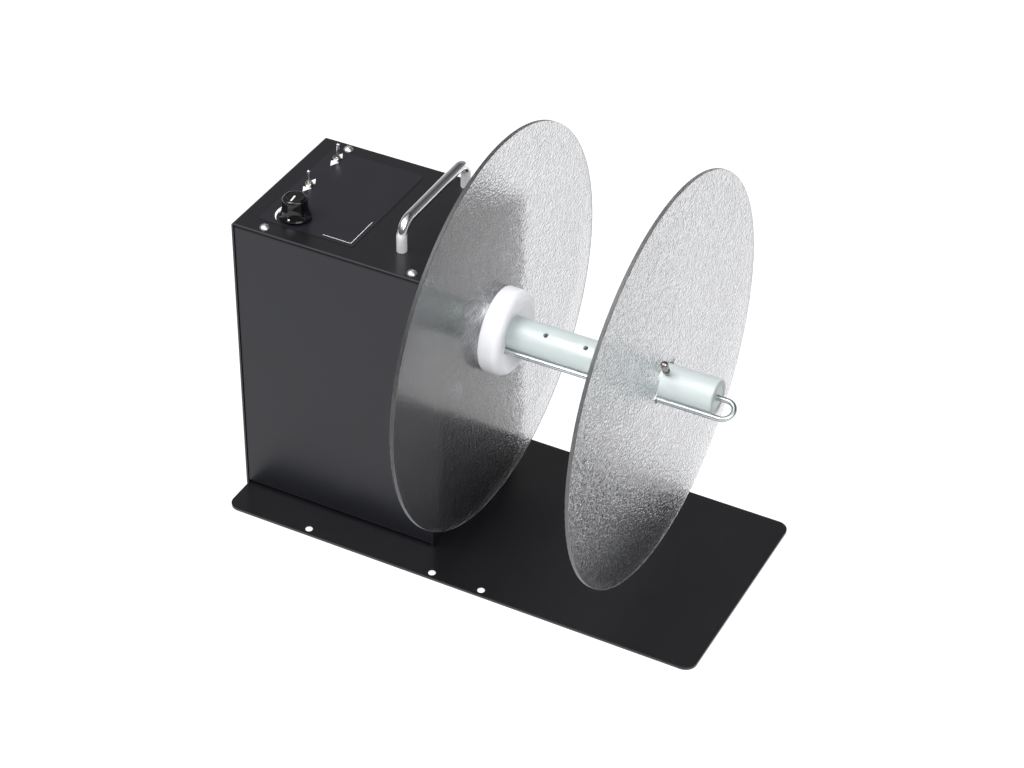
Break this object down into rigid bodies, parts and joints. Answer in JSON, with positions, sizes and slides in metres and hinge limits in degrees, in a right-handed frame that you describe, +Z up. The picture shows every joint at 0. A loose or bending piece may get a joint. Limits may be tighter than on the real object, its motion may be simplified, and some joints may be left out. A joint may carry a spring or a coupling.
{
  "type": "label rewinder",
  "caption": "Bench label rewinder: a black cabinet drives a tube spindle between clear discs, over a flat base plate, with a carrying handle and top controls.",
  "frame": {"origin": "on the table, under the spindle's axis and halfway along the base", "axes": "+X along the spindle away from the cabinet, +Y to the back, +Z up"},
  "size_m": [0.384, 0.3048, 0.3249],
  "materials": {
    "powder_black": "fine glossy black powder coat",
    "panel_black": "satin charcoal powder coat",
    "label": "printed polycarbonate overlay",
    "chrome": "bright plated",
    "stainless": "brushed",
    "steel": "ground",
    "aluminium": "turned",
    "tube_alu": "satin anodised, faintly green",
    "disc": "clear plastic sheet, pebbled back, glossy front",
    "white_plastic": "white turned plastic",
    "black_plastic": "moulded",
    "rubber": "matt",
    "brass": "plain",
    "phenolic": "resin board",
    "switch_blue": "moulded",
    "spider_red": "elastomer",
    "board_green": "solder mask",
    "nylon": "moulded",
    "laminate": "varnished laminations",
    "winding": "taped enamelled wire"
  },
  "bodies": {
    "cabinet": {"base_plate": "powder_black", "rubber_feet": "rubber", "base_screws": "stainless", "base_nuts": "stainless", "chassis": "panel_black", "cover": "powder_black", "top_screws": "chrome", "control_label": "label", "handle": "chrome", "handle_screws": "stainless", "pot_body": "phenolic", "pot_nut": "chrome", "direction_switch": "switch_blue", "direction_nut": "chrome", "torque_switch": "switch_blue", "torque_switch_nut": "chrome", "power_inlet": "black_plastic", "inlet_pins": "brass", "inlet_screws": "stainless", "rocker_frame": "black_plastic", "motor_can": "steel", "motor_end_cap": "black_plastic", "gearbox": "aluminium", "motor_plate": "aluminium", "gearbox_screws": "stainless", "standoffs": "brass", "standoff_screws": "stainless", "bearing_housing": "aluminium", "housing_screws": "stainless", "bearing_outer_rings": "steel", "bearing_balls": "chrome", "control_board": "board_green", "board_spacers": "nylon", "board_parts": "black_plastic", "transformer_core": "laminate", "transformer_coil": "winding"},
    "spindle": {"gearbox_shaft": "steel", "coupling_motor_half": "aluminium", "coupling_spider": "spider_red", "coupling_spindle_half": "aluminium", "spindle_shaft": "steel", "bearing_inner_rings": "steel", "bearing_spacer": "steel", "drive_hub": "aluminium", "hub_screws": "stainless", "inner_disc": "disc", "collar": "white_plastic", "spindle_tube": "tube_alu", "tube_bush": "aluminium", "end_cap": "aluminium", "inner_stop_screw": "chrome", "outer_disc": "disc"},
    "wire": {"retaining_wire": "stainless"},
    "thumbscrew": {"stop_screw": "chrome"},
    "knob": {"torque_knob": "black_plastic", "pot_shaft": "steel"},
    "direction_toggle": {"direction_lever": "chrome"},
    "torque_toggle": {"torque_lever": "chrome"},
    "mains_rocker": {"rocker": "black_plastic"}
  },
  "joints": [
    {"name": "spindle_spin", "type": "hinge", "parent": "cabinet", "child": "spindle", "pos_m": [-0.0135, 0, 0.1725], "axis": [1, 0, 0], "continuous": true},
    {"name": "wire_pull", "type": "slide", "parent": "spindle", "child": "wire", "axis": [1, 0, 0], "range_m": [0, 0.165]},
    {"name": "thumbscrew_turn", "type": "hinge", "parent": "spindle", "child": "thumbscrew", "pos_m": [0.12385, 0, 0.1725], "axis": [0, -0.454, 0.891], "continuous": true},
    {"name": "knob_turn", "type": "hinge", "parent": "cabinet", "child": "knob", "pos_m": [-0.1553, -0.0345, 0.2415], "axis": [0, 0, 1], "range_deg": [-150, 150]},
    {"name": "direction_tilt", "type": "hinge", "parent": "cabinet", "child": "direction_toggle", "pos_m": [-0.1682, 0.0058, 0.2417], "axis": [1, 0, 0], "range_deg": [-13, 13]},
    {"name": "torque_tilt", "type": "hinge", "parent": "cabinet", "child": "torque_toggle", "pos_m": [-0.1682, 0.0448, 0.2417], "axis": [1, 0, 0], "range_deg": [0, 26]},
    {"name": "rocker_tilt", "type": "hinge", "parent": "cabinet", "child": "mains_rocker", "pos_m": [-0.092, 0.0643, 0.036], "axis": [0, 0, 1], "range_deg": [-18, 0]}
  ]
}
